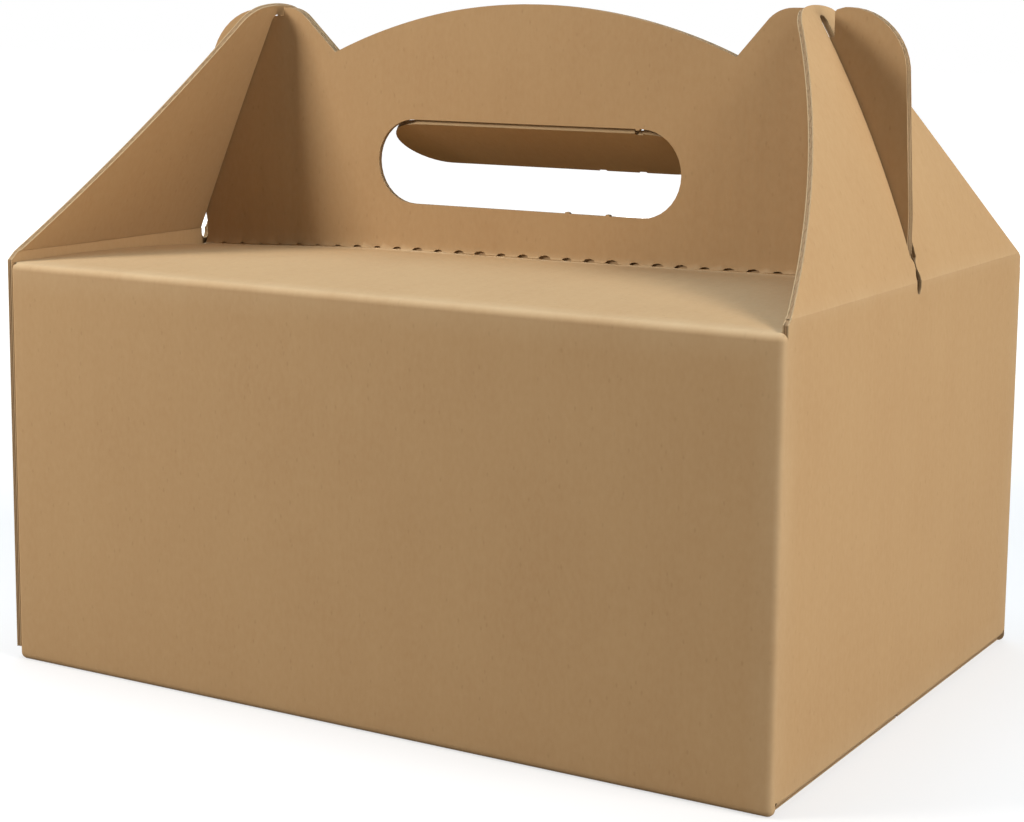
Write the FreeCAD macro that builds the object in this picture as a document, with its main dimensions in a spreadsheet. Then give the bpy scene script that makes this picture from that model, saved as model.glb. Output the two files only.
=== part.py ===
import FreeCAD, Part
import math
import os
import Sketcher

# Carry box folded from one sheet of thick brown card, shown closed.
# Origin under the middle of the base, front towards -Y, +Z up, in mm.
SIZES = {
    "box_length": 240, "box_width": 174, "wall_height": 116,
    "board": 1.5, "fold_round": 2.0, "loose_gap": 0.3,
    "roof_rise": 2.0, "panel_gap": 0.4, "seam_gap": 1.0,
    "tuck_flap": 70, "glue_tab": 25,
    # handle and its ears: heights are above the walls, insets from the box ends
    "arch_top": 74.4, "arch_foot": 60.5, "arch_inset": 53.6, "arch_round": 166,
    "ear_top": 73.9, "lobe_top": 73.1, "ear_inset": 3.6, "ear_round": 19.5,
    "inner_lobe_inset": 35.5, "inner_lobe_round": 10,
    "notch_outer": 25.4, "notch_inner": 34.6, "notch_foot": 66.3,
    "hole_length": 101, "hole_height": 25, "hole_foot": 15, "rear_hole_margin": 1.5,
    "hole_flap_fold": 59,
    # gable flaps: lengths up the flap are measured from the fold
    "gable_fold": 3.0, "gable_lean": 23.75, "gable_slope": 78.6,
    "left_gable_bend": 1.2, "right_gable_bend": 7.0,
    "slot_width": 4.2, "slot_top": 75.3, "slot_foot": 1.3, "slot_foot_width": 1.8,
}

doc = FreeCAD.newDocument("carry_box")
sheet = doc.addObject("Spreadsheet::Sheet", "sizes")
for row, (alias, value) in enumerate(SIZES.items(), start=1):
    sheet.set(f"A{row}", alias)
    sheet.set(f"B{row}", str(value))
    sheet.setAlias(f"B{row}", alias)
doc.recompute()

ALONG_X = FreeCAD.Rotation(0.5, 0.5, 0.5, 0.5)
ALONG_Y = FreeCAD.Rotation(FreeCAD.Vector(1, 0, 0), 90)
FLAT = FreeCAD.Rotation()


def bound(text):
    words = []
    word = ""
    for letter in str(text) + " ":
        if letter.isalnum() or letter == "_" or (letter == "." and word[:1].isdigit()):
            word += letter
            continue
        words.append("sizes." + word if word in SIZES else word)
        words.append(letter)
        word = ""
    return "".join(words).strip()


def value(text):
    return float(sheet.evalExpression(bound(text)))


def outline(name, turn, points, place=("0", "0", "0")):
    # Each point is (across, up) or (across, up, radius): the radius bends the
    # line from that point to the next, to the left for plus and right for minus.
    sketch = doc.addObject("Sketcher::SketchObject", name)
    sketch.Placement = FreeCAD.Placement(FreeCAD.Vector(0, 0, 0), turn)
    for axis, text in zip("xyz", place):
        if text != "0":
            sketch.setExpression(f"Placement.Base.{axis}", bound(text))
    spots = [FreeCAD.Vector(value(p[0]), value(p[1]), 0) for p in points]
    ends = []
    for number, point in enumerate(points):
        start, finish = spots[number], spots[(number + 1) % len(points)]
        if len(point) == 2:
            sketch.addGeometry(Part.LineSegment(start, finish))
            ends.append((1, 2))
            continue
        radius = value(point[2])
        chord = finish - start
        half = chord.Length / 2
        reach = math.sqrt(max(radius * radius - half * half, 0))
        side = FreeCAD.Vector(-chord.y, chord.x, 0).normalize()
        left = radius > 0
        centre = (start + finish) / 2 + side * (reach if left else -reach)
        first = math.atan2(start.y - centre.y, start.x - centre.x)
        last = math.atan2(finish.y - centre.y, finish.x - centre.x)
        if not left:
            first, last = last, first
        if last < first:
            last += 2 * math.pi
        circle = Part.Circle(centre, FreeCAD.Vector(0, 0, 1), abs(radius))
        sketch.addGeometry(Part.ArcOfCircle(circle, first, last))
        ends.append((1, 2) if left else (2, 1))
    count = len(points)
    for number in range(count):
        after = (number + 1) % count
        sketch.addConstraint(
            Sketcher.Constraint("Coincident", number, ends[number][1], after, ends[after][0])
        )
    for number, point in enumerate(points):
        start = ends[number][0]
        for kind, text in (("DistanceX", point[0]), ("DistanceY", point[1])):
            index = sketch.addConstraint(
                Sketcher.Constraint(kind, -1, 1, number, start, value(text))
            )
            sketch.setExpression(f"Constraints[{index}]", bound(text))
        if len(point) == 3:
            index = sketch.addConstraint(
                Sketcher.Constraint("Radius", number, abs(value(point[2])))
            )
            sketch.setExpression(f"Constraints[{index}]", "abs(" + bound(point[2]) + ")")
    doc.recompute()
    return sketch


def push(sketch, length, symmetric=True):
    solid = doc.addObject("Part::Extrusion", sketch.Name + "_solid")
    solid.Base = sketch
    solid.DirMode = "Normal"
    solid.Solid = True
    solid.Symmetric = symmetric
    solid.setExpression("LengthFwd", bound(length))
    return solid


def both_ways(half):
    # mirrors a half outline that runs up its right side, so it closes on itself
    flipped = []
    last = len(half) - (2 if half[-1][0] == "0" else 1)
    for number in range(last, -1, -1):
        point = half[number]
        bend = half[number - 1][2:] if number else ()
        flipped.append((f"-({point[0]})", point[1]) + bend)
    return list(half) + flipped


def join(name, shapes):
    solid = doc.addObject("Part::MultiFuse", name)
    solid.Shapes = shapes
    solid.Refine = True
    return solid


def cut(name, base, tool):
    solid = doc.addObject("Part::Cut", name)
    solid.Base = base
    solid.Tool = tool
    return solid


def mirrored(name, source, normal):
    solid = doc.addObject("Part::Mirroring", name)
    solid.Source = source
    solid.Normal = FreeCAD.Vector(*normal)
    return solid


def block(name, sizes, corner):
    solid = doc.addObject("Part::Box", name)
    for side, text in zip(("Length", "Width", "Height"), sizes):
        solid.setExpression(side, bound(text))
    for axis, text in zip("xyz", corner):
        solid.setExpression(f"Placement.Base.{axis}", bound(text))
    return solid


HALF_LONG = "box_length / 2"
HALF_WIDE = "box_width / 2"
INNER_ROUND = "(fold_round - board)"
HANDLE_FRONT = "(panel_gap / 2 + board)"
HANDLE_FOOT = "wall_height + roof_rise + 1.2"

# walls: one ring, rounded at three corners and butted at the front left one
ring_outer = outline("wall_outside", FLAT, [
    (HALF_LONG, f"-{HALF_WIDE} + fold_round"),
    (HALF_LONG, f"{HALF_WIDE} - fold_round", "fold_round"),
    (f"{HALF_LONG} - fold_round", HALF_WIDE),
    (f"-{HALF_LONG} + fold_round", HALF_WIDE, "fold_round"),
    (f"-{HALF_LONG}", f"{HALF_WIDE} - fold_round"),
    (f"-{HALF_LONG}", f"-{HALF_WIDE} + 0.7"),
    (f"-{HALF_LONG} + board", f"-{HALF_WIDE} + 0.7", "0.7"),
    (f"-{HALF_LONG} + board + 0.7", f"-{HALF_WIDE}"),
    (f"{HALF_LONG} - fold_round", f"-{HALF_WIDE}", "fold_round"),
], place=("0", "0", "board + fold_round"))
ring = push(ring_outer, "wall_height + gable_fold - 0.15 - board - fold_round", symmetric=False)
cavity = block("cavity", (
    "box_length - 2 * board", "box_width - 2 * board", "wall_height + 20",
), (f"-{HALF_LONG} + board", f"-{HALF_WIDE} + board", "0"))
roof_opening = block("roof_opening", (
    "box_length - 2 * board", "box_width + 20", "20",
), (f"-{HALF_LONG} + board", f"-{HALF_WIDE} - 10", "wall_height - fold_round"))
side_top = outline("side_top", ALONG_X, [
    (f"{HALF_WIDE} + 5", "wall_height - 20"),
    (f"{HALF_WIDE} + 5", "wall_height + 20"),
    (f"{HALF_WIDE} - 20.4", "wall_height + 20"),
    (f"{HALF_WIDE} - 0.6", "wall_height - 0.6"),
    (f"{HALF_WIDE} + 1", "wall_height - 0.6"),
    (f"{HALF_WIDE} + 1", "wall_height - 20"),
])
corner_trim = push(side_top, "box_length + 20")
corner_trim_rear = mirrored("corner_trim_rear", corner_trim, (0, 1, 0))
slot_foot = outline("slot_foot_shape", ALONG_X, both_ways([
    ("slot_foot_width / 2", "wall_height + slot_foot"),
    ("slot_width / 2", "wall_height + gable_fold + 1"),
]))
slot_foot_cut = push(slot_foot, "box_length + 20")
walls = ring
for number, tool in enumerate((cavity, roof_opening, corner_trim, corner_trim_rear, slot_foot_cut)):
    walls = cut(f"walls_{number}", walls, tool)

# front strip: outer base flap, front wall, roof panel and the foot of the handle
strip = outline("front_strip", ALONG_X, [
    ("-seam_gap / 2", "0"),
    ("-seam_gap / 2", "board"),
    (f"-{HALF_WIDE} + fold_round", "board", f"-{INNER_ROUND}"),
    (f"-{HALF_WIDE} + board", "fold_round"),
    (f"-{HALF_WIDE} + board", "wall_height - fold_round", f"-{INNER_ROUND}"),
    (f"-{HALF_WIDE} + fold_round", "wall_height - board"),
    (f"-{HANDLE_FRONT} - 0.6", "wall_height + roof_rise - board", "0.6 + board"),
    ("-panel_gap / 2", "wall_height + roof_rise + 0.6"),
    ("-panel_gap / 2", HANDLE_FOOT),
    (f"-{HANDLE_FRONT}", HANDLE_FOOT),
    (f"-{HANDLE_FRONT}", "wall_height + roof_rise + 0.6", "-0.6"),
    (f"-{HANDLE_FRONT} - 0.6", "wall_height + roof_rise"),
    (f"-{HALF_WIDE} + fold_round", "wall_height", "fold_round"),
    (f"-{HALF_WIDE}", "wall_height - fold_round"),
    (f"-{HALF_WIDE}", "fold_round", "fold_round"),
    (f"-{HALF_WIDE} + fold_round", "0"),
])
front_strip = push(strip, "box_length - 2 * board - 2 * loose_gap")
rear_strip = mirrored("rear_strip", front_strip, (0, 1, 0))

# inner base flaps, folded in from the side walls and glued on the outer ones
tuck = outline("side_tuck", ALONG_Y, [
    (HALF_LONG, "board + fold_round"),
    (f"{HALF_LONG} - board", "board + fold_round", f"-{INNER_ROUND}"),
    (f"{HALF_LONG} - fold_round", "2 * board"),
    (f"{HALF_LONG} - tuck_flap", "2 * board"),
    (f"{HALF_LONG} - tuck_flap", "board"),
    (f"{HALF_LONG} - fold_round", "board", "fold_round"),
])
right_tuck = push(tuck, "box_width - 2 * board")
left_tuck = mirrored("left_tuck", right_tuck, (1, 0, 0))
tab = block("glue_tab_panel", (
    "board", "glue_tab", "wall_height - 14",
), (f"-{HALF_LONG} + board", f"-{HALF_WIDE} + board", "6"))

# handle panel with a curved hand grip edge and a hooked ear at each end
LOBE = "inner_lobe_round * 0.7071"
panel_shape = outline("handle_shape", ALONG_Y, both_ways([
    (f"{HALF_LONG} - board - loose_gap", HANDLE_FOOT),
    (f"{HALF_LONG} - board - loose_gap", "wall_height + gable_fold + 0.4"),
    (f"{HALF_LONG} - 0.8", "wall_height + 8.6"),
    (f"{HALF_LONG} - 2.1", "wall_height + 20"),
    (f"{HALF_LONG} - ear_inset", "wall_height + ear_top - ear_round", "ear_round"),
    (f"{HALF_LONG} - ear_inset - ear_round", "wall_height + ear_top"),
    (f"{HALF_LONG} - notch_outer + 0.6", "wall_height + lobe_top", "0.6"),
    (f"{HALF_LONG} - notch_outer", "wall_height + lobe_top - 0.6"),
    (f"{HALF_LONG} - notch_outer", "wall_height + notch_foot"),
    (f"{HALF_LONG} - notch_inner", "wall_height + notch_foot"),
    (f"{HALF_LONG} - notch_inner", "wall_height + ear_top"),
    (f"{HALF_LONG} - inner_lobe_inset", "wall_height + ear_top", "inner_lobe_round"),
    (f"{HALF_LONG} - inner_lobe_inset - {LOBE}",
     f"wall_height + ear_top - inner_lobe_round + {LOBE}"),
    (f"{HALF_LONG} - arch_inset", "wall_height + arch_foot", "arch_round"),
    ("0", "wall_height + arch_top", "arch_round"),
]))
panel_solid = push(panel_shape, "board")


def stadium(name, margin):
    radius = f"(hole_height / 2 {margin})"
    middle = "wall_height + hole_foot + hole_height / 2"
    reach = "(hole_length - hole_height) / 2"
    return outline(name, ALONG_Y, [
        (reach, f"{middle} - {radius}", radius),
        (f"{reach} + {radius}", middle, radius),
        (reach, f"{middle} + {radius}"),
        (f"-{reach}", f"{middle} + {radius}", radius),
        (f"-{reach} - {radius}", middle, radius),
        (f"-{reach}", f"{middle} - {radius}"),
    ])


front_hole = push(stadium("front_hole_shape", ""), "10")
rear_hole = push(stadium("rear_hole_shape", "+ rear_hole_margin"), "10")
PANEL_Y = "(panel_gap + board) / 2"
front_panel = cut("front_panel", panel_solid, front_hole)
front_panel.setExpression("Placement.Base.y", bound(f"-{PANEL_Y}"))
rear_panel = cut("rear_panel", panel_solid, rear_hole)
rear_panel.setExpression("Placement.Base.y", bound(PANEL_Y))

carton_solid = join("carton_solid", [
    walls, front_strip, rear_strip, right_tuck, left_tuck, tab, front_panel, rear_panel,
])

# hand hole flap: the piece pushed in, turned about the back of its top edge
flap_shape = stadium("hole_flap_shape", "- loose_gap")
flap_flat = push(flap_shape, "board")
flap_flat.setExpression("Placement.Base.y", bound(f"-{PANEL_Y}"))

# gable flaps: gently bent slabs, cut to shape square to their slope
CHORD_X = f"{HALF_LONG} - gable_slope * sin(gable_lean * 1 deg)"
CHORD_Z = "wall_height + gable_fold + gable_slope * cos(gable_lean * 1 deg)"
slope_turn = FreeCAD.Rotation(FreeCAD.Vector(0, 1, 0), -SIZES["gable_lean"]) * ALONG_X
on_slope = (HALF_LONG, "0", "wall_height + gable_fold")
gable_shape = outline("gable_shape", slope_turn, both_ways([
    (f"{HALF_WIDE} - 3.4 + 1.2", "-1.2"),
    (f"{HALF_WIDE} - 3.4", "0", "-420"),
    (f"{HALF_WIDE} - 70", "slot_top - 4.9", "16"),
    ("7", "gable_slope - 1.1", "20"),
    ("0", "gable_slope - 0.1", "20"),
]), place=on_slope)
gable_prism = push(gable_shape, "16")
slot_shape = outline("slot_shape", slope_turn, both_ways([
    ("slot_width / 2", "-4"),
    ("slot_width / 2", "slot_top"),
]), place=on_slope)
slot_prism = push(slot_shape, "24")
under_fold = block("under_fold", ("20", "box_width + 20", "20"), (
    f"{HALF_LONG} - 15", f"-{HALF_WIDE} - 10", "wall_height + gable_fold + 0.15 - 20",
))


def gable(side):
    bend = f"{side}_gable_bend"
    radius = f"gable_slope / (2 * sin({bend} * 1 deg))"
    top_lean = f"((gable_lean + {bend}) * 1 deg)"
    foot_lean = f"((gable_lean - {bend}) * 1 deg)"
    slab = push(outline(f"{side}_slab_shape", ALONG_Y, [
        (HALF_LONG, "wall_height + gable_fold", radius),
        (CHORD_X, CHORD_Z),
        (f"{CHORD_X} - board * cos{top_lean}", f"{CHORD_Z} - board * sin{top_lean}",
         f"-({radius} - board)"),
        (f"{HALF_LONG} - board * cos{foot_lean}",
         f"wall_height + gable_fold - board * sin{foot_lean}"),
    ]), "box_width")
    blank = doc.addObject("Part::MultiCommon", f"{side}_gable_blank")
    blank.Shapes = [slab, gable_prism]
    slotted = cut(f"{side}_gable_slotted", blank, slot_prism)
    return cut(f"{side}_gable_solid", slotted, under_fold)


right_gable_solid = gable("right")
left_gable_solid = mirrored("left_gable_mirrored", gable("left"), (1, 0, 0))
doc.recompute()


def keep(label, source, turn=None):
    piece = doc.addObject("Part::Compound", label)
    piece.Label = label
    piece.Links = [source]
    if turn:
        spot, axis, angle = turn
        rotation = FreeCAD.Rotation(axis, angle)
        piece.Placement = FreeCAD.Placement(spot - rotation.multVec(spot), rotation)
    return piece


hole_hinge = FreeCAD.Vector(
    0, value("-panel_gap / 2"), value("wall_height + hole_foot + hole_height")
)
pieces = [
    keep("carton", carton_solid),
    keep("left_gable_flap", left_gable_solid),
    keep("right_gable_flap", right_gable_solid),
    keep("hand_hole_flap", flap_flat,
         (hole_hinge, FreeCAD.Vector(1, 0, 0), SIZES["hole_flap_fold"])),
]
doc.recompute()

for item in doc.Objects:
    if any(word in item.State for word in ("Invalid", "Error")):
        raise RuntimeError(f"{item.Name}: {item.State}")

os.makedirs("parts", exist_ok=True)
for piece in pieces:
    shape = piece.Shape
    if shape.isNull() or not shape.isValid() or len(shape.Solids) != 1:
        raise RuntimeError(f"{piece.Label}: {len(shape.Solids)} solids, valid {shape.isValid()}")
    shape.Solids[0].exportStep(f"parts/{piece.Label}.step")
    box = shape.BoundBox
    print(piece.Label, round(shape.Volume), [round(v, 2) for v in (
        box.XMin, box.XMax, box.YMin, box.YMax, box.ZMin, box.ZMax)])
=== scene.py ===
import bpy, bmesh, math
from mathutils import Matrix, Vector
from mathutils.geometry import delaunay_2d_cdt


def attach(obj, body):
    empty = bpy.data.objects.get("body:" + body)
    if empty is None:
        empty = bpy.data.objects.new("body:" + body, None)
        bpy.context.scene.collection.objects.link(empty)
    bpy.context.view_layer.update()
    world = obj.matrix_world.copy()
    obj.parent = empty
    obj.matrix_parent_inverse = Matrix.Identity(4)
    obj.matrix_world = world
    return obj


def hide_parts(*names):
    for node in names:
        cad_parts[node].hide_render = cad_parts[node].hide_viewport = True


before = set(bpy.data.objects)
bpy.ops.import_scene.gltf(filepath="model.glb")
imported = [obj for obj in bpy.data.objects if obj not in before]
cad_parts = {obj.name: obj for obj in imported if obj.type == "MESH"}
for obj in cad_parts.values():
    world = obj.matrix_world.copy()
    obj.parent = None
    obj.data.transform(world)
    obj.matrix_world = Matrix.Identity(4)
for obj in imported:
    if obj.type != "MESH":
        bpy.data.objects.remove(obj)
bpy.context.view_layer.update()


def linear(code):  # sRGB hex to linear
    parts = [int(code[i:i + 2], 16) / 255 for i in (1, 3, 5)]
    return [c / 12.92 if c <= 0.04045 else ((c + 0.055) / 1.055) ** 2.4 for c in parts] + [1]


# camera: stands 30 degrees to the right of the front and 8 degrees up
shot = {
    "azimuth": 30.22, "elevation": 8.36, "roll": 0.62, "distance": 0.6247,
    "target": (0.0036, 0.0, 0.0984), "lens": 75.5, "centre": (536, 323), "picture": (1024, 822),
}


def addCamera(s):
    az, el, roll = (math.radians(s[k]) for k in ("azimuth", "elevation", "roll"))
    look = Vector((-math.sin(az) * math.cos(el), math.cos(az) * math.cos(el), -math.sin(el)))
    right = look.cross(Vector((0, 0, 1))).normalized()
    up = right.cross(look)
    right, up = right * math.cos(roll) + up * math.sin(roll), up * math.cos(roll) - right * math.sin(roll)
    cam = bpy.data.objects.new("camera", bpy.data.cameras.new("camera"))
    cam.matrix_world = Matrix((
        (right.x, up.x, -look.x, 0), (right.y, up.y, -look.y, 0),
        (right.z, up.z, -look.z, 0), (0, 0, 0, 1),
    ))
    cam.matrix_world.translation = Vector(s["target"]) - look * s["distance"]
    cam.data.lens = s["lens"]
    wide, tall = s["picture"]
    cam.data.shift_x = (wide / 2 - s["centre"][0]) / wide
    cam.data.shift_y = (s["centre"][1] - tall / 2) / wide
    cam.data.clip_start, cam.data.clip_end = 0.01, 20
    bpy.context.scene.collection.objects.link(cam)
    bpy.context.scene.camera = cam


addCamera(shot)
print("camera")


def addNode(tree, kind, links=None, **settings):
    node = tree.nodes.new(kind)
    for key, given in settings.items():
        if key.startswith("in_"):
            slot = key[3:]
            node.inputs[int(slot) if slot.isdigit() else slot.replace("_", " ")].default_value = given
        else:
            setattr(node, key, given)
    for slot, source in (links or {}).items():
        tree.links.new(source, node.inputs[slot])
    return node


# the folded sheet, in mm; every fold, edge and slot sits where the solids have it
sheet = {
    "length": 240.0, "width": 174.0, "height": 116.0, "board": 1.5, "liner": 0.3,
    "fold": 1.25, "rise": 2.0, "crease": 1.35, "panelGap": 0.4, "step": 7.0,
    "recess": 0.12, "rimStep": 0.4, "outlineStep": 3.0, "foldSteps": 7, "foldZone": 2.0, "footLine": 3.5,
    "drawIn": 0.35, "sag": [
        (-118, 4.0), (-100, 3.5), (-75, 2.3), (-50, 1.4), (-15, 1.0), (20, 0.7), (50, 0.5), (85, 0.0)],
}
wallHigh, thick = sheet["height"], sheet["board"]


def spread(low, high, step):  # evenly spaced values, both ends included
    count = max(1, round((high - low) / step))
    return [low + (high - low) * i / count for i in range(count + 1)]


def foldPath(corners, radii, step):  # [(point, left normal, length so far)] with rounded folds
    points = [Vector(corners[0])]
    for i in range(1, len(corners) - 1):
        here = Vector(corners[i])
        back, on = (Vector(corners[i - 1]) - here).normalized(), (Vector(corners[i + 1]) - here).normalized()
        half = back.angle(on) / 2
        reach = radii[i - 1] / math.tan(half)
        centre = here + (back + on).normalized() * (radii[i - 1] / math.sin(half))
        first, last = here + back * reach - centre, here + on * reach - centre
        turn = math.atan2(first.x * last.y - first.y * last.x, first.dot(last))
        for k in range(sheet["foldSteps"] + 1):
            angle = turn * k / sheet["foldSteps"]
            points.append(centre + Vector((
                first.x * math.cos(angle) - first.y * math.sin(angle),
                first.x * math.sin(angle) + first.y * math.cos(angle))))
    points.append(Vector(corners[-1]))
    filled = [points[0]]
    for a, b in zip(points, points[1:]):
        for f in spread(0, 1, step / (b - a).length)[1:]:
            filled.append(a.lerp(b, f))
    path, run = [], 0.0
    for i, here in enumerate(filled):
        before, after = filled[max(i - 1, 0)], filled[min(i + 1, len(filled) - 1)]
        along = ((here - before).normalized() + (after - here).normalized()).normalized()
        run += (here - before).length
        path.append((here, Vector((-along.y, along.x)), run))
    return path


def onPath(path, v):  # point and normal at a length along the path
    for (a, na, va), (b, nb, vb) in zip(path, path[1:]):
        if v <= vb:
            break
    f = (v - va) / (vb - va)
    return a.lerp(b, f), na.lerp(nb, min(max(f, 0), 1)).normalized()


def within(point, loop):
    inside, x, y = False, point[0], point[1]
    for (ax, ay), (bx, by) in zip(loop, loop[1:] + loop[:1]):
        if (ay > y) != (by > y) and x < (bx - ax) * (y - ay) / (by - ay) + ax:
            inside = not inside
    return inside


def finer(loop, step):  # the same outline with no side longer than step
    fine = []
    for a, b in zip(loop, loop[1:] + loop[:1]):
        a, b = Vector(a), Vector(b)
        count = max(1, math.ceil((b - a).length / step))
        fine += [a.lerp(b, i / count) for i in range(count)]
    return fine


def arc(centre, radius, first, last, count=12):  # degrees, in the panel's own plane
    return [(centre[0] + radius * math.cos(math.radians(first + (last - first) * i / count)),
             centre[1] + radius * math.sin(math.radians(first + (last - first) * i / count)))
            for i in range(count + 1)]


outerLook, innerLook, cutLook, fluteLook = range(4)  # places in each piece's list of finishes


class Panel:  # one die-cut panel: outline and holes in (across, along), folded into place
    def __init__(self, place, loops, rows, columns, edgeKind, rub, turned=False, shift=(0, 0), pits=(), pitDepth=0.0):
        self.place, self.turned, self.rubAt, self.shift = place, turned, rub, shift
        self.verts, self.faces, self.kinds, self.uvs, self.rubs, self.rims = [], [], [], [], [], []
        loops = [[(p[0], p[1]) for p in loop] for loop in loops]
        spots, sides = [], []
        for loop in loops + list(pits):
            start = len(spots)
            spots += [Vector(p) for p in loop]
            sides += [(start + i, start + (i + 1) % len(loop)) for i in range(len(loop))]
        low = [min(p[i] for p in loops[0]) for i in (0, 1)]
        high = [max(p[i] for p in loops[0]) for i in (0, 1)]
        for x in columns:
            if low[0] + 0.01 < x < high[0] - 0.01:
                spots += [Vector((x, low[1])), Vector((x, high[1]))]
                sides.append((len(spots) - 2, len(spots) - 1))
        for y in rows:
            if low[1] + 0.01 < y < high[1] - 0.01:
                spots += [Vector((low[0], y)), Vector((high[0], y))]
                sides.append((len(spots) - 2, len(spots) - 1))
        points, _, cells = delaunay_2d_cdt(spots, sides, [], 0, 1e-4)[:3]
        kept, sunk = [], []
        for cell in cells:
            middle = sum((points[i] for i in cell), Vector((0, 0))) / len(cell)
            if within(middle, loops[0]) and not any(within(middle, loop) for loop in loops[1:]):
                area = sum(points[a].x * points[b].y - points[b].x * points[a].y
                           for a, b in zip(cell, list(cell[1:]) + [cell[0]]))
                kept.append(list(cell) if area > 0 else list(cell)[::-1])
                sunk.append(any(abs(middle.y - pit[0][1]) < 4 and within(middle, pit) for pit in pits))
        used = sorted({i for cell in kept for i in cell})
        outer = {i: self.spot(points[i], thick / 2) for i in used}
        inner = {i: self.spot(points[i], -thick / 2) for i in used}
        floors = {i: self.spot(points[i], thick / 2 - pitDepth) for cell, low in zip(kept, sunk) if low for i in cell}
        lips = {}  # a dent's own outline, where its wall goes down
        for cell, low in zip(kept, sunk):
            if low:
                for a, b in zip(cell, cell[1:] + cell[:1]):
                    if lips.pop((b, a), None) is None:
                        lips[(a, b)] = True
        for a, b in lips:
            self.face([outer[a], outer[b], floors[b], floors[a]], cutLook)
        edges = {}  # the panel's outline and holes, each side with its kind
        for cell, low in zip(kept, sunk):
            self.face([(floors if low else outer)[i] for i in cell], fluteLook if low else outerLook)
            self.face([inner[i] for i in reversed(cell)], innerLook)
            for a, b in zip(cell, cell[1:] + cell[:1]):
                if (b, a) in edges:
                    del edges[(b, a)]
                else:
                    edges[(a, b)] = True
        inward = {}
        for a, b in edges:
            kind = edgeKind(points[a], points[b])
            edges[(a, b)] = kind
            if kind == "raw":
                along = (points[b] - points[a]).normalized()
                for i in (a, b):
                    inward.setdefault(i, []).append(Vector((-along.y, along.x)))
        rim = {}
        for i, ways in inward.items():
            way = sum(ways, Vector((0, 0))) / len(ways)
            way = way / max(way.length_squared, 0.3)  # mitred at a corner, but held short at a sharp one
            depth, lip = way * sheet["recess"], thick / 2 - sheet["liner"]
            rim[i] = (self.spot(points[i], lip), self.spot(points[i] + depth, lip),
                      self.spot(points[i] + depth, -lip), self.spot(points[i], -lip))
        for (a, b), kind in edges.items():
            if kind == "raw":
                chain = [[outer[i], *rim[i], inner[i]] for i in (a, b)]
                for k, look in enumerate((cutLook, fluteLook, fluteLook, fluteLook, cutLook)):
                    self.face([chain[0][k + 1], chain[1][k + 1], chain[1][k], chain[0][k]], look)
            elif kind == "score":
                self.face([inner[a], inner[b], outer[b], outer[a]], cutLook)
        self.rimLines(points, edges)

    def spot(self, flat, off):
        self.verts.append(self.place(flat[0], flat[1], off) / 1000)
        self.uvs.append(((flat[0] + self.shift[0]) / 100, (flat[1] + self.shift[1]) / 100))
        self.rubs.append(self.rubAt(flat[0], flat[1]) if off > 0 else 0)
        return len(self.verts) - 1

    def face(self, ring, look):
        self.faces.append(ring[::-1] if self.turned else ring)
        self.kinds.append(look)

    def rimLines(self, points, edges):  # follows the raw edges, for the fluting that shows in them
        after = {a: b for (a, b), kind in edges.items() if kind == "raw"}
        starts = [a for a in after if a not in after.values()] + list(after)
        seen = set()
        for start in starts:
            if start in seen:
                continue
            line, i = [start], start
            while i in after and i not in seen:
                seen.add(i)
                i = after[i]
                line.append(i)
            samples = []
            for a, b in zip(line, line[1:]):
                a, b = points[a], points[b]
                along = (b - a).normalized()
                inward = Vector((-along.y, along.x))
                for f in spread(0, 1, sheet["rimStep"] / max((b - a).length, 1e-6))[:-1]:
                    samples.append(self.rimSpot(a.lerp(b, f), inward))
            if len(samples) > 3:
                self.rims.append(samples)

    def rimSpot(self, flat, inward):  # place, away from the sheet's middle, into the sheet, and across the flutes
        here = self.place(flat.x, flat.y, 0)
        away = (self.place(flat.x, flat.y, 0.3) - self.place(flat.x, flat.y, -0.3)).normalized()
        into = self.place(flat.x + inward.x * 0.4, flat.y + inward.y * 0.4, 0) - here
        return here / 1000, away, into.normalized(), flat.x


def joinPanels(name, panels, finishes, body):  # one object from panels that meet at their folds
    mesh = bpy.data.meshes.new(name)
    verts, faces, kinds, uvs, rubs = [], [], [], [], []
    for panel in panels:
        faces += [[i + len(verts) for i in face] for face in panel.faces]
        kinds += panel.kinds
        verts += panel.verts
        uvs += panel.uvs
        rubs += panel.rubs
    mesh.from_pydata(verts, [], faces)
    layer = mesh.uv_layers.new(name="sheet")
    for loop in mesh.loops:
        layer.data[loop.index].uv = uvs[loop.vertex_index]
    # how pale each fold is: rubbed wear, and a painted highlight on the rounded folds
    rubAndHighlightLayer = mesh.attributes.new("rub", "FLOAT", "POINT")
    rubAndHighlightLayer.data.foreach_set("value", rubs)
    for face, look in zip(mesh.polygons, kinds):
        face.material_index = look
        face.use_smooth = True
    work = bmesh.new()
    work.from_mesh(mesh)
    bmesh.ops.remove_doubles(work, verts=work.verts, dist=2e-6)  # closes the panels' shared folds
    bmesh.ops.dissolve_degenerate(work, edges=work.edges, dist=1e-7)
    work.to_mesh(mesh)
    work.free()
    mesh.set_sharp_from_angle(angle=math.radians(32))
    piece = bpy.data.objects.new(name, mesh)
    bpy.context.scene.collection.objects.link(piece)
    for finish in finishes:
        mesh.materials.append(finish)
    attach(piece, body)
    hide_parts(body)


def steps(table, x):  # straight between the table's points
    if x <= table[0][0]:
        return table[0][1]
    for (xa, ya), (xb, yb) in zip(table, table[1:]):
        if x <= xb:
            f = (x - xa) / (xb - xa)
            return ya + (yb - ya) * f
    return table[-1][1]


hang = {"side": 86.5, "end": 118.5, "edge": 86, "run": 84, "full": 3, "fade": 9}  # where the roof may sink


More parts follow.
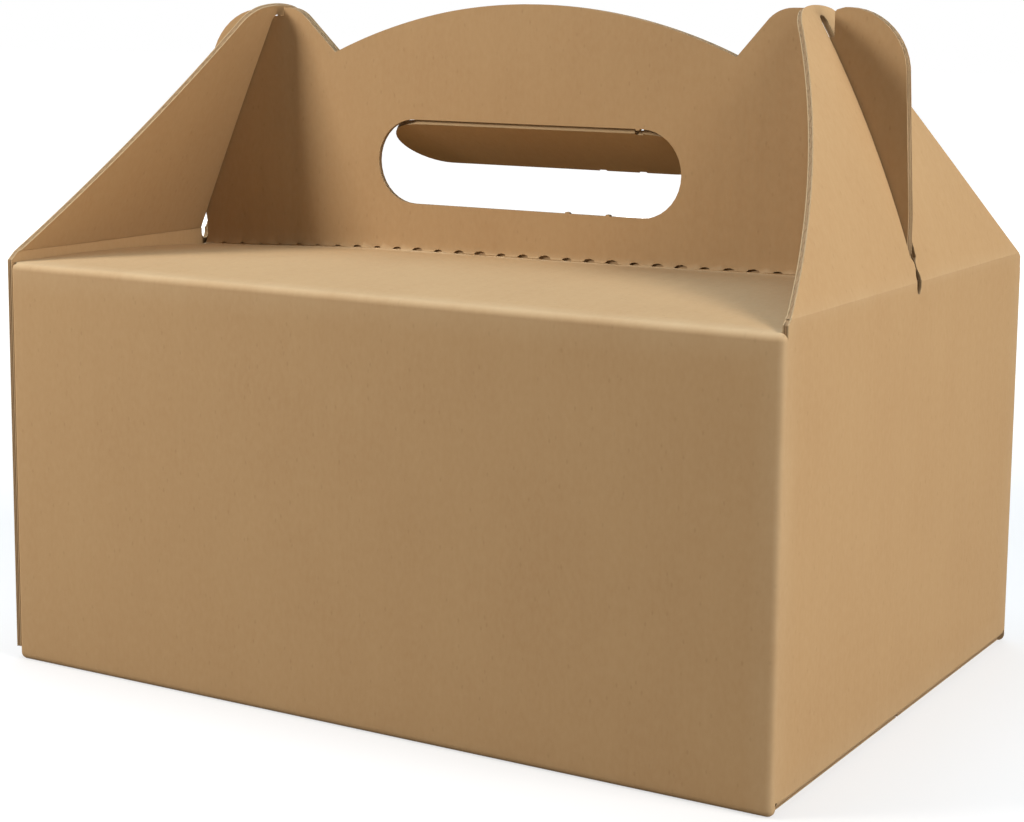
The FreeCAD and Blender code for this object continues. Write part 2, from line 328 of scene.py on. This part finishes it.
def settle(p):  # the roof hangs lower towards its left end, and the walls draw in a little
    x, y, z = p
    if z > wallHigh - sheet["foldZone"] and abs(y) < hang["side"] and abs(x) < hang["end"]:
        inner = min(max((hang["edge"] - abs(y)) / hang["run"], 0), 1)
        fade = 1 if z < wallHigh + hang["full"] else max(0, 1 - (z - wallHigh - hang["full"]) / hang["fade"])
        z -= steps(sheet["sag"], x) * inner * inner * fade
    if z < wallHigh - sheet["foldZone"] and abs(y) > hang["run"]:
        pull = sheet["drawIn"] * math.sin(math.pi * z / wallHigh) * math.cos(math.pi * x / sheet["length"])
        y -= math.copysign(max(pull, 0), y)
    return Vector((x, y, z))


halfLong, halfWide = sheet["length"] / 2, sheet["width"] / 2
midGap = sheet["panelGap"] / 2 + thick / 2
frontPath = foldPath([
    (-0.5, thick / 2), (-halfWide + thick / 2, thick / 2), (-halfWide + thick / 2, wallHigh - thick / 2),
    (-midGap, wallHigh + sheet["rise"] - thick / 2), (-midGap, wallHigh + 74.4),
], [sheet["fold"], sheet["fold"], sheet["crease"]], sheet["step"])
sidePath = foldPath([
    (-50, thick * 1.5), (-halfLong + thick / 2, thick * 1.5), (-halfLong + thick / 2, wallHigh + 2.99),
], [sheet["fold"]], sheet["step"])


def runTo(path, value, after=0.0):  # length along the path where a height is reached
    for (a, _, va), (b, _, vb) in zip(path, path[1:]):
        if vb > after and (a.y - value) * (b.y - value) <= 0 and a.y != b.y:
            return va + (vb - va) * (value - a.y) / (b.y - a.y)


lowRow, highRow = sheet["footLine"], wallHigh - sheet["foldZone"]  # heights between which a wall is flat
wallFoot, wallHead = runTo(frontPath, lowRow, 80), runTo(frontPath, highRow, 80)
sideFoot, sideHead = runTo(sidePath, lowRow, 60), runTo(sidePath, highRow, 60)
creaseAt = runTo(frontPath, wallHigh + 1.7, 280)
handleAt = runTo(frontPath, wallHigh + 3.2, 280)  # where the handle panel starts, past the crease
handleBase = handleAt - (wallHigh + 3.2)  # length along the sheet at height 0 of the handle's own plane
wallRows = spread(lowRow, highRow, sheet["step"])
capFoot, capHead = halfWide - 2.5, wallHead + 1.9  # where the folds along the base and roof end


def rowsOf(path, foot, head):  # the fold's own steps, and on the wall the same heights all round
    rows = [v for _, _, v in path if v < foot - 0.01 or v > head + 0.01]
    return rows + [foot + z - lowRow for z in wallRows]


handle = {
    "archTop": 74.4, "archInset": 53.6, "archRound": 166.0, "lobeHigh": 73.9, "lobeRound": 10.0,
    "notchOuter": 25.4, "notchInner": 34.6, "roofEnd": 118.2, "baseEnd": 118,
    "foot": [(116.0, 3.8), (116.0, 7.0), (116.9, 10.5), (116.9, 20)],
    "ears": {  # the handle hangs a little at its left end
        1: {"inset": 5.0, "round": 17.5, "top": 74.2, "earTop": 73.6, "notchFoot": 66.3, "lobeInset": 37.2,
            "drop": [(0, 0.3), (60, 0.0)]},
        -1: {"inset": 6.2, "round": 19.5, "top": 73.5, "earTop": 73.0, "notchFoot": 71.4, "lobeInset": 35.5,
             "drop": [(0, 0.3), (25, 0.6), (45, 1.0), (66, 1.3), (92, 1.6)]},
    },
    "holeLength": 101.0, "holeHeight": 25.0, "holeFoot": 15.0, "rearMargin": 1.5,
    "slitCount": 31, "slitPitch": 7.3, "slitLength": 4.0, "slitWidth": 2.0, "slitLift": 0.8, "slitDepth": 0.8,
    "slitShape": [(-1, -0.1), (-0.7, -0.8), (0, -1), (0.7, -0.8), (1, -0.1), (0.75, 0.5), (0.1, 0.8), (-0.6, 0.6)],
    "scallop": 0.8, "tab": (116.95, 0.8, 24.0),  # the glue tab: where its bend starts, bend radius, length
    "nicks": [(36.6, True), (14.3, False), (27.5, False)],  # stubs at the hole: place, and whether at its top
}


def frontPlace(side, glued):  # side -1 is the front strip, 1 the rear one
    def place(u, v, off):
        base, normal = onPath(frontPath, v)
        x, y, z = u, base.x + normal.x * off, base.y + normal.y * off
        if abs(v - creaseAt) < 6:  # board between two slits swells up a little
            wave = 0.5 - 0.5 * math.cos(2 * math.pi * u / handle["slitPitch"])
            lift = handle["scallop"] * wave * math.exp(-((v - creaseAt) / 1.3) ** 2)
            y, z = y + normal.x * lift, z + normal.y * lift
        if capFoot - 0.01 <= v <= capHead + 0.01:
            start, radius = handle["tab"][:2] if glued and u < 0 else (halfLong - 2, sheet["fold"])
            over = abs(u) - start
            if over > 0:  # round the upright corner, closing to a point at its two ends
                turn = min(over / radius, math.pi / 2)
                beyond = max(over - radius * math.pi / 2, 0)
                middle = -halfWide + thick / 2 + radius
                reach = max(middle - y, 0)
                x = math.copysign(start + reach * math.sin(turn), u)
                y = middle - reach * math.cos(turn) + beyond
        spot = settle((x, y, z))
        return Vector((spot.x, -side * spot.y, spot.z))
    return place


def bow(a, b, radius, count=12):  # arc between two points; outward of an anticlockwise outline is positive
    a, b = Vector(a), Vector(b)
    half = (b - a).length / 2
    along = (b - a).normalized()
    left = Vector((-along.y, along.x))
    size, sign = abs(radius), math.copysign(1, radius)
    centre = (a + b) / 2 + left * sign * math.sqrt(size * size - half * half)
    reach = math.asin(half / size)
    points = []
    for i in range(count + 1):
        angle = -reach + 2 * reach * i / count
        points.append(tuple(centre + along * size * math.sin(angle) - left * sign * size * math.cos(angle)))
    return points


def handleHalf(h, ear):  # from the foot to the middle of the arch
    lift = handleBase + wallHigh
    outer, inner = halfLong - h["notchOuter"], halfLong - h["notchInner"]
    lobe = lift + h["lobeHigh"]
    half = [(h["roofEnd"], handleAt - 4), (116.4, handleAt)] + [(x, lift + y) for x, y in h["foot"]]
    half += arc((halfLong - ear["inset"] - ear["round"], lift + ear["top"] - ear["round"]), ear["round"], 0, 90)
    half += [(outer + 0.6, lift + ear["earTop"]), (outer, lift + ear["earTop"] - 0.6),
             (outer, lift + ear["notchFoot"]), (inner, lift + ear["notchFoot"]), (inner, lobe)]
    half += arc((halfLong - ear["lobeInset"], lobe - h["lobeRound"]), h["lobeRound"], 90, 135, 6)
    reach = math.degrees(math.asin((halfLong - h["archInset"]) / h["archRound"]))
    half += arc((0, lift + h["archTop"] - h["archRound"]), h["archRound"], 90 - reach, 90, 22)
    return [(x, y - steps(ear["drop"], x) * min(max((y - lift - 20) / 30, 0), 1)) for x, y in half]


def handleOutline(h):
    return handleHalf(h, h["ears"][1]) + [(-x, y) for x, y in reversed(handleHalf(h, h["ears"][-1])[:-1])]


def holeOutline(h, margin, nicks=()):
    low = handleBase + wallHigh + h["holeFoot"] - margin
    high = low + h["holeHeight"] + 2 * margin
    radius, reach = (high - low) / 2, (h["holeLength"] - h["holeHeight"]) / 2
    top, foot = [], []
    for x, up in nicks:  # stubs of board left where the flap was held before it was pushed in
        stub = [(x + 0.8, high), (x + 0.5, high - 0.4), (x - 0.4, high - 0.5), (x - 0.7, high)]
        if up:
            top += stub
        else:
            foot += [(a, low + high - b) for a, b in reversed(stub)]
    middle = (low + high) / 2
    return arc((reach, middle), radius, -90, 90, 18) + top + arc((-reach, middle), radius, 90, 270, 18) + foot


def slitRow(h):  # the crease between the roof and the handle is pricked with a row of dents
    loops, count = [], h["slitCount"]
    for i in range(count):
        x = (i - (count - 1) / 2) * h["slitPitch"]
        # uneven, and pressed in less towards the left
        size = 1 + 0.15 * math.sin(2.1 * i) - 0.45 * math.exp(-((x + 95) / 55) ** 2)
        a, b, y = h["slitLength"] / 2 * size, h["slitWidth"] / 2 * size, creaseAt + h["slitLift"]
        loops.append([(x + a * p, y + b * q) for p, q in h["slitShape"]])
    return loops


def near(value, middle, width):  # 1 in the middle, fading out over the width
    return math.exp(-((value - middle) / width) ** 2)


def frontRubAndHighlight(u, v):  # 1 where a fold is pale: rubbed wear, and a painted highlight where the rounded fold catches light
    rub = max(0.6 * near(v, wallHead + 1.1, 1.5), near(v, creaseAt - 0.3, 1.3))
    if capFoot < v < capHead:
        rub = max(rub, 0.6 * near(abs(u), halfLong - 1.0, 1.2))
    return max(rub, 0.15 * near(v, capFoot + 1, 1.0))


def stripPanel(side, glued, nicks, margin):  # base flap, long wall, roof and handle in one strip
    h = handle
    end, base = h["roofEnd"], h["baseEnd"]
    corner = halfLong - 2 + sheet["fold"] * math.pi / 2
    tabEnd = h["tab"][0] + h["tab"][1] * math.pi / 2 + h["tab"][2]
    if glued:
        left = [(-end, capHead), (-118.3, wallHead), (-tabEnd, wallHead - 8), (-tabEnd, wallFoot + 8),
                (-118.3, wallFoot), (-118.1, capFoot)]
    else:
        left = [(-end, capHead), (-corner, capHead), (-corner, wallHead), (-corner, wallFoot),
                (-corner, capFoot), (-base, capFoot)]
    right = [(base, capFoot), (corner, capFoot), (corner, wallFoot), (corner, wallHead),
             (corner, capHead), (end, capHead)]
    outline = [(base, 0)] + right + handleOutline(h) + left + [(-base, 0)]
    loops = [finer(outline, sheet["outlineStep"]), finer(holeOutline(h, margin, nicks), sheet["outlineStep"])]
    turns = [math.pi / 2 * k / sheet["foldSteps"] for k in range(sheet["foldSteps"] + 1)]
    columns = spread(-112, 112, sheet["step"]) + [halfLong - 2 + sheet["fold"] * turn for turn in turns]
    start, radius = h["tab"][:2] if glued else (halfLong - 2, sheet["fold"])
    columns += [-start - radius * turn for turn in turns]
    if glued:
        columns += [-tabEnd + 8, -tabEnd + 16]
    holeTop = handleBase + wallHigh + h["holeFoot"] + h["holeHeight"]
    rows = rowsOf(frontPath, wallFoot, wallHead) + [creaseAt + d for d in (-3, 2.6, 4.5)]

    def edgeKind(a, b):
        u, v = (a + b) / 2
        if abs(abs(a.x) - corner) < 0.01 and abs(a.x - b.x) < 0.01 and (u > 0 or not glued):
            return "open" if wallFoot < v < wallHead else "score"
        if abs(u) > 118.05 and min(abs(v - capFoot), abs(v - capHead)) < 0.02:
            return "score"
        if margin == 0 and abs(v - holeTop) < 0.02 and abs(u) < 38:
            return "score"
        return "raw"
    return Panel(frontPlace(side, glued), loops, rows, columns,
                 edgeKind, frontRubAndHighlight, turned=side > 0, shift=(0, 600 if side > 0 else 0),
                 pits=slitRow(h), pitDepth=h["slitDepth"])


endWall = {
    "base": 84, "top": 83.6, "rise": 4.99, "reach": 85.0, "gluedReach": 86.3, "shoulder": 1.2, "gluedShoulder": 2.3,
    "notch": [(1.6, 0), (1.6, 1.6), (1.1, 2.8), (0.5, 3.3)],  # the slot's foot: half width, depth
}


def sidePanel(side, glued):  # end wall with its short base flap
    w = endWall
    front = -side  # the sign of u at the front corner
    reach = {s: w["gluedReach"] if glued and s == front else w["reach"] for s in (-1, 1)}
    top = sideHead + w["rise"]
    drop = {s: w["gluedShoulder"] if reach[s] > w["reach"] else w["shoulder"] for s in (-1, 1)}
    notch = [(x, top - y) for x, y in w["notch"]]
    outline = [(-w["base"], 0), (w["base"], 0), (w["base"], sideFoot), (reach[1], sideFoot), (reach[1], sideHead),
               (reach[1], top - drop[1]), (w["top"], top)] + notch + [(-x, y) for x, y in reversed(notch)]
    outline += [(-w["top"], top), (-reach[-1], top - drop[-1]), (-reach[-1], sideHead), (-reach[-1], sideFoot),
                (-w["base"], sideFoot)]

    def place(u, v, off):
        base, normal = onPath(sidePath, v)
        spot = settle((base.x + normal.x * off, u, base.y + normal.y * off))
        return Vector((-side * spot.x, side * spot.y, spot.z))

    def edgeKind(a, b):
        for s in (-1, 1):  # open where the front or rear wall carries on round the corner
            onEdge = all(abs(p.x - s * w["reach"]) < 0.01 and p.y < sideHead + 0.01 for p in (a, b))
            if reach[s] == w["reach"] and onEdge:
                return "open"
        return "score" if min(a.y, b.y) > top - 0.01 else "raw"

    # pale bands at the corners and folds: rubbed wear, and a painted highlight on the rounded folds
    def rub(u, v):
        return max(0.8 * near(abs(u), 86, 1.0), 0.6 * near(v, sideFoot - 1, 1.2), 0.3 * near(v, top, 1.5))
    return Panel(place, [finer(outline, sheet["outlineStep"])], rowsOf(sidePath, sideFoot, sideHead) + [top - 2],
                 spread(-77, 77, sheet["step"]), edgeKind, rub, shift=(side * 300, 0))


gable = {
    "lean": 23.75, "slope": 78.6, "bend": {-1: 1.2, 1: 7.0}, "base": (83.6, 0), "shoulder": (17, 70.4),
    "shoulderRound": 14, "tipRound": 40, "front": {-1: -420, 1: -320},
    "tip": {-1: [(8, 76.4), (0, 77.2)], 1: [(9, 77.4), (0, 78.3)]},
    "slot": 2.1, "slotTop": {-1: 74.2, 1: 75.3},
    "slotFoot": {-1: [(2.1, 0)],  # the right flap's slot closes up again just above the fold
                 1: [(2.1, 6.6), (1.2, 6.0), (0.5, 5.2), (0.4, 3.6), (1.0, 2.6), (1.5, 1.6), (1.6, 0)]},
}


def gablePanel(side, g):  # bent a little outwards along its length
    lean, bend, slope = math.radians(g["lean"]), math.radians(g["bend"][side]), g["slope"]
    radius = slope / (2 * math.sin(bend))
    up, out = Vector((-math.sin(lean), math.cos(lean))), Vector((math.cos(lean), math.sin(lean)))
    centre = Vector((halfLong, wallHigh + 3)) + up * slope / 2 - out * radius * math.cos(bend)

    def place(u, v, off):
        v = max(v, 0.45 * (thick / 2 - off))
        turn = math.asin((v - slope / 2) / radius)
        spot = centre + (out * math.cos(turn) + up * math.sin(turn)) * (radius + off - thick / 2)
        return Vector((side * spot.x, side * u, spot.y))
    tip = g["tip"][side]
    half = bow(g["base"], g["shoulder"], g["front"][side], 30)[:-1]
    half += bow(g["shoulder"], tip[0], g["shoulderRound"], 8)[:-1] + bow(*tip, g["tipRound"], 5)
    slot, end = g["slot"], g["slotTop"][side]
    outline = half + [(-x, y) for x, y in reversed(half[:-1])]
    right = [(0, end), (slot - 0.7, end - 0.3), (slot, end - 1.6)] + g["slotFoot"][side]
    outline += [(-x, y) for x, y in reversed(right[1:])] + right

    def edgeKind(a, b):
        return "score" if max(a.y, b.y) < 0.02 else "raw"

    # a pale band along the fold at the foot: rubbed wear, and a painted highlight on the fold
    def rub(u, v):
        return 0.3 * near(v, 0, 1.5)
    return Panel(place, [finer(outline, sheet["outlineStep"])], [1.2] + spread(4, 76, 6),
                 spread(-77, 77, sheet["step"]), edgeKind, rub, shift=(side * 300, sideHead + 5))


flap = {"fold": 59, "clear": 0.3, "topGap": (1.3, 1.1, 0.9), "footGap": (1.3, 1.0, 0.6)}  # gaps: wide, narrow, deep


def flapPanel(h, f):  # the piece pushed back through the hand hole
    angle = math.radians(f["fold"])
    down, front = Vector((math.sin(angle), -math.cos(angle))), Vector((-math.cos(angle), -math.sin(angle)))

    def place(u, v, off):
        v = max(v, 0.15 * (off / thick + 0.5))
        hinge = Vector((-sheet["panelGap"] / 2, wallHigh + h["holeFoot"] + h["holeHeight"]))
        spot = hinge + down * v + front * (thick / 2 + off)
        return Vector((-u, spot.x, spot.y))
    radius, reach = h["holeHeight"] / 2 - f["clear"], (h["holeLength"] - h["holeHeight"]) / 2
    middle = h["holeHeight"] / 2
    high, top, foot = middle + radius, [], []
    for x, up in h["nicks"]:  # gaps where the stubs at the hole's edge tore out of it
        wide, narrow, deep = f["topGap"] if up else f["footGap"]
        if up:
            top += [(-x - wide, 0), (-x - narrow, deep), (-x + narrow, deep), (-x + wide, 0)]
        else:
            foot += [(-x + wide, high), (-x + narrow, high - deep), (-x - narrow, high - deep), (-x - wide, high)]
    foot.sort(key=lambda p: -p[0])
    outline = arc((reach, middle), radius, -84, 90, 18) + foot + arc((-reach, middle), radius, 90, 264, 18)
    outline += [(-reach, 0)] + top + [(reach, 0)]

    def edgeKind(a, b):
        return "score" if max(a.y, b.y) < 0.02 else "raw"
    return Panel(place, [finer(outline, sheet["outlineStep"])], [1.0] + spread(6, 24, 6),
                 spread(-49, 49, sheet["step"]), edgeKind, lambda u, v: 0, shift=(0, 300))


def kraftBoard(look):  # unbleached kraft liner on fine flutes: matt, mottled, with short fibres and a faint washboard
    mat = bpy.data.materials.new("kraft liner, uncoated")
    mat.use_nodes = True
    tree = mat.node_tree
    bsdf = tree.nodes["Principled BSDF"]
    bsdf.inputs["Roughness"].default_value = look["rough"]
    bsdf.inputs["Specular IOR Level"].default_value = 0.25
    uv = addNode(tree, "ShaderNodeUVMap", uv_map="sheet").outputs[0]
    # one unit of the map is 100 mm
    cloudMap = addNode(tree, "ShaderNodeMapping", {0: uv}, in_Scale=(1, 0.6, 1))
    cloud = addNode(tree, "ShaderNodeTexNoise", {0: cloudMap.outputs[0]}, in_Scale=4.5, in_Detail=4.0,
        in_Roughness=0.6)
    fibreMap = addNode(tree, "ShaderNodeMapping", {0: uv}, in_Scale=(1, 0.5, 1))
    fibre = addNode(tree, "ShaderNodeTexNoise", {0: fibreMap.outputs[0]}, in_Scale=100 / look["fibre"],
        in_Detail=3.0, in_Roughness=0.55)
    speckMap = addNode(tree, "ShaderNodeMapping", {0: uv}, in_Scale=(1, 0.5, 1), in_Rotation=(0, 0, 0.4))
    speck = addNode(tree, "ShaderNodeTexVoronoi", {0: speckMap.outputs[0]}, in_Scale=100 / look["speck"])
    dots = addNode(tree, "ShaderNodeMapRange", {0: speck.outputs["Distance"]}, in_1=0.05, in_2=0.16, in_3=1.0,
        in_4=0.0)
    flute = addNode(tree, "ShaderNodeTexWave", {0: uv}, wave_type="BANDS", bands_direction="X",
        in_Scale=100 / look["flute"] / 20 * math.pi, in_Distortion=0.6, in_Detail_Scale=2.0)
    tone = addNode(tree, "ShaderNodeMix", {0: cloud.outputs[0]}, data_type="RGBA", in_6=linear(look["deep"]),
        in_7=linear(look["base"]))
    lit = addNode(tree, "ShaderNodeMapRange", {0: fibre.outputs[0]}, in_1=0.3, in_2=0.7, in_3=0.0,
        in_4=look["fibreShow"])
    second = addNode(tree, "ShaderNodeMix", {0: lit.outputs[0], 6: tone.outputs[2]}, data_type="RGBA",
        in_7=linear(look["pale"]))
    # darker bands at the flute pitch: painted shade of the washboard, on top of its bump below
    lines = addNode(tree, "ShaderNodeMath", {0: flute.outputs[1]}, operation="MULTIPLY", in_1=look["fluteShow"])
    third = addNode(tree, "ShaderNodeMix", {0: lines.outputs[0], 6: second.outputs[2]}, data_type="RGBA",
        in_7=linear(look["deep"]))
    flecks = addNode(tree, "ShaderNodeMath", {0: dots.outputs[0]}, operation="MULTIPLY", in_1=look["speckShow"])
    fourth = addNode(tree, "ShaderNodeMix", {0: flecks.outputs[0], 6: third.outputs[2]}, data_type="RGBA",
        in_7=linear(look["fleck"]))
    # the pale fold colour, laid on where the folds are marked: rubbed wear, and a painted highlight on the rounded
    # folds
    rub = addNode(tree, "ShaderNodeAttribute", attribute_name="rub")
    patchy = addNode(tree, "ShaderNodeMapRange", {0: cloud.outputs[0]}, in_1=0.3, in_2=0.7,
        in_3=0.5 * look["rubAndHighlightShow"], in_4=look["rubAndHighlightShow"])
    rubAndHighlightAmount = addNode(tree, "ShaderNodeMath", {0: rub.outputs["Fac"], 1: patchy.outputs[0]}, operation="MULTIPLY")
    last = addNode(tree, "ShaderNodeMix", {0: rubAndHighlightAmount.outputs[0], 6: fourth.outputs[2]}, data_type="RGBA",
        in_7=linear(look["rubbedAndHighlight"]))
    tree.links.new(last.outputs[2], bsdf.inputs["Base Color"])
    low = addNode(tree, "ShaderNodeBump", {"Height": flute.outputs[1]}, in_Strength=look["fluteBump"],
        in_Distance=0.00012)
    high = addNode(tree, "ShaderNodeBump", {"Height": fibre.outputs[0], "Normal": low.outputs[0]},
        in_Strength=0.35, in_Distance=0.00006)
    tree.links.new(high.outputs[0], bsdf.inputs["Normal"])
    return mat


def cutBoard(name, code):  # torn and cut paper fibres: paler and rougher than the pressed liner
    mat = bpy.data.materials.new(name)
    mat.use_nodes = True
    tree = mat.node_tree
    bsdf = tree.nodes["Principled BSDF"]
    bsdf.inputs["Roughness"].default_value = 0.95
    place = addNode(tree, "ShaderNodeTexCoord").outputs["Object"]
    grain = addNode(tree, "ShaderNodeTexNoise", {0: place}, in_Scale=1800.0, in_Detail=2.0)  # about half a millimetre
    dark = [c * 0.72 for c in linear(code)[:3]] + [1]
    tone = addNode(tree, "ShaderNodeMix", {0: grain.outputs[0]}, data_type="RGBA", in_6=dark, in_7=linear(code))
    tree.links.new(tone.outputs[2], bsdf.inputs["Base Color"])
    return mat


fluting = {"pitch": 3.2, "height": 0.34, "depth": 0.12, "paper": 0.18}


def flutingTree(paper):  # bends a line of points into waves across the flutes and draws it into the board
    tree = bpy.data.node_groups.new("fluting", "GeometryNodeTree")
    tree.interface.new_socket("Geometry", in_out="INPUT", socket_type="NodeSocketGeometry")
    for name in ("Pitch", "Height", "Depth"):
        tree.interface.new_socket(name, in_out="INPUT", socket_type="NodeSocketFloat")
    tree.interface.new_socket("Geometry", in_out="OUTPUT", socket_type="NodeSocketGeometry")
    given = addNode(tree, "NodeGroupInput").outputs
    across = addNode(tree, "GeometryNodeInputNamedAttribute", data_type="FLOAT", in_Name="across").outputs[0]
    away = addNode(tree, "GeometryNodeInputNamedAttribute", data_type="FLOAT_VECTOR", in_Name="away").outputs[0]
    into = addNode(tree, "GeometryNodeInputNamedAttribute", data_type="FLOAT_VECTOR", in_Name="into").outputs[0]
    turns = addNode(tree, "ShaderNodeMath", {0: across, 1: given["Pitch"]}, operation="DIVIDE")
    angle = addNode(tree, "ShaderNodeMath", {0: turns.outputs[0]}, operation="MULTIPLY", in_1=2 * math.pi)
    wave = addNode(tree, "ShaderNodeMath", {0: angle.outputs[0]}, operation="SINE")
    rise = addNode(tree, "ShaderNodeMath", {0: wave.outputs[0], 1: given["Height"]}, operation="MULTIPLY")
    shift = addNode(tree, "ShaderNodeVectorMath", {0: away, "Scale": rise.outputs[0]}, operation="SCALE")
    bent = addNode(tree, "GeometryNodeSetPosition", {"Geometry": given["Geometry"], "Offset": shift.outputs[0]})
    ribbon = addNode(tree, "GeometryNodeExtrudeMesh", {
        "Mesh": bent.outputs[0], "Offset": into, "Offset Scale": given["Depth"]}, mode="EDGES")
    real = addNode(tree, "GeometryNodeRealizeInstances", {0: ribbon.outputs[0]})
    last = addNode(tree, "GeometryNodeSetMaterial", {"Geometry": real.outputs[0]}, in_Material=paper)
    addNode(tree, "NodeGroupOutput", {0: last.outputs[0]})
    return tree


def addFluting(name, panels, tree, look, body):
    spots, sides, rims = [], [], [rim for panel in panels for rim in panel.rims]
    for rim in rims:
        sides += [(len(spots) + i, len(spots) + i + 1) for i in range(len(rim) - 1)]
        spots += rim
    lines = bpy.data.meshes.new(name)
    lines.from_pydata([s[0] for s in spots], sides, [])
    for key, kind, values in (("across", "FLOAT", [s[3] / 1000 for s in spots]),
                              ("away", "FLOAT_VECTOR", [c for s in spots for c in s[1]]),
                              ("into", "FLOAT_VECTOR", [c for s in spots for c in s[2]])):
        data = lines.attributes.new(key, kind, "POINT").data
        data.foreach_set("value" if kind == "FLOAT" else "vector", values)
    piece = bpy.data.objects.new(name, lines)
    bpy.context.scene.collection.objects.link(piece)
    waves = piece.modifiers.new("fluting", "NODES")
    waves.node_group = tree
    sockets = {item.name: item.identifier for item in tree.interface.items_tree if item.in_out == "INPUT"}
    for key in ("Pitch", "Height", "Depth"):
        waves[sockets[key]] = look[key.lower()] / 1000
    made = bpy.data.meshes.new_from_object(piece.evaluated_get(bpy.context.evaluated_depsgraph_get()))
    piece.modifiers.remove(waves)
    piece.data = made
    paper = piece.modifiers.new("paper thickness", "SOLIDIFY")
    paper.thickness, paper.offset = look["paper"] / 1000, 0
    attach(piece, body)


# the pale fold colour stands for rubbed wear and a painted highlight on the folds; the flute bands are painted shade
# of the washboard
boardLook = {
    "base": "#a8865c", "deep": "#9f7b52", "pale": "#b09067", "fleck": "#7f603c", "rubbedAndHighlight": "#b79c77",
    "rough": 0.82, "fibre": 1.3, "fibreShow": 0.3, "speck": 2.6, "speckShow": 0.22,
    "flute": 3.2, "fluteShow": 0.08, "fluteBump": 0.2, "rubAndHighlightShow": 0.75,
}
liner = kraftBoard(boardLook)
flutePaper = cutBoard("fluting paper", "#9d7c55")
finishes = [liner, liner, cutBoard("kraft liner, cut edge", "#ad8f67"), flutePaper]
print("board finish")

boards = {
    "carton": [stripPanel(-1, True, handle["nicks"], 0), stripPanel(1, False, (), handle["rearMargin"]),
               sidePanel(1, False), sidePanel(-1, True)],
    "left_gable_flap": [gablePanel(-1, gable)],
    "right_gable_flap": [gablePanel(1, gable)],
    "hand_hole_flap": [flapPanel(handle, flap)],
}
flutes = flutingTree(flutePaper)
for body, panels in boards.items():
    joinPanels("board_" + body, panels, finishes, body)
    addFluting("fluting_" + body, panels, flutes, fluting, body)
    print(body.replace("_", " "))


# a lamp high on the right and a cool one above, then low right, front left, front right and behind
# each lamp: power, size, place, colour
stageLook = {
    "floor": "#8f8a84", "nearGlow": 0.6, "world": (0.02, (1.0, 0.93, 0.86)),
    "key": (18.7, 0.45, (1.08, -0.12, 1.24), (0.98, 1.0, 1.02)),
    "above": (12.9, 0.9, (-0.15, 0.14, 1.3), (0.68, 1.0, 1.36)),
    "right": (10.6, 0.6, (1.2, 0.0, 0.14), (0.97, 1.0, 1.04)),
    "left": (7.4, 0.24, (-0.55, -0.55, 0.47), (1.0, 1.0, 1.0)),
    "side": (0.9, 0.3, (0.75, -0.62, 0.36), (1.0, 1.0, 1.0)),
    "back": (5.3, 0.4, (-0.75, 1.1, 0.14), (1.0, 1.0, 1.0)),
}


def addFloor(look):  # pale paper: the camera sees it near white, with the box's soft shadow
    mesh = bpy.data.meshes.new("floor")
    mesh.from_pydata([(-6, -6, 0), (6, -6, 0), (6, 6, 0), (-6, 6, 0)], [], [(0, 1, 2, 3)])
    floor = bpy.data.objects.new("floor", mesh)
    bpy.context.scene.collection.objects.link(floor)
    mat = bpy.data.materials.new("white paper floor")
    mat.use_nodes = True
    tree = mat.node_tree
    bsdf = tree.nodes["Principled BSDF"]
    bsdf.inputs["Base Color"].default_value = linear(look["floor"])
    bsdf.inputs["Roughness"].default_value = 0.95
    away = addNode(tree, "ShaderNodeVectorMath", {0: addNode(tree, "ShaderNodeTexCoord").outputs["Object"]},
        operation="LENGTH")
    glow = addNode(tree, "ShaderNodeMapRange", {0: away.outputs["Value"]}, in_1=0.3, in_2=0.9,
        in_3=look["nearGlow"], in_4=1.0)
    path = addNode(tree, "ShaderNodeLightPath")
    seen = addNode(tree, "ShaderNodeMath", {0: path.outputs["Is Camera Ray"], 1: glow.outputs[0]},
        operation="MULTIPLY")
    bsdf.inputs["Emission Color"].default_value = (1, 1, 1, 1)
    tree.links.new(seen.outputs[0], bsdf.inputs["Emission Strength"])
    mesh.materials.append(mat)


def addWorld(look):
    world = bpy.data.worlds.new("studio")
    bpy.context.scene.world = world
    world.use_nodes = True
    tree = world.node_tree
    path = addNode(tree, "ShaderNodeLightPath")
    soft = tree.nodes["Background"]
    soft.inputs["Strength"].default_value = look["world"][0]
    soft.inputs["Color"].default_value = (*look["world"][1], 1)
    white = addNode(tree, "ShaderNodeBackground", in_Strength=1.0, in_Color=(1, 1, 1, 1))
    mix = addNode(tree, "ShaderNodeMixShader", {
        0: path.outputs["Is Camera Ray"], 1: soft.outputs[0], 2: white.outputs[0]})
    tree.links.new(mix.outputs[0], tree.nodes["World Output"].inputs[0])


def addLamp(name, power, size, place, tint, aim=(0, 0, 0.08)):
    lamp = bpy.data.objects.new(name, bpy.data.lights.new(name, "AREA"))
    lamp.data.energy, lamp.data.size, lamp.data.color = power, size, tint
    lamp.location = place
    lamp.rotation_euler = (Vector(aim) - Vector(place)).to_track_quat("-Z", "Y").to_euler()
    bpy.context.scene.collection.objects.link(lamp)


addFloor(stageLook)
addWorld(stageLook)
for side in ("key", "above", "right", "left", "side", "back"):
    addLamp(side + " lamp", *stageLook[side])
bpy.context.scene.view_settings.view_transform = "Standard"
print("light")
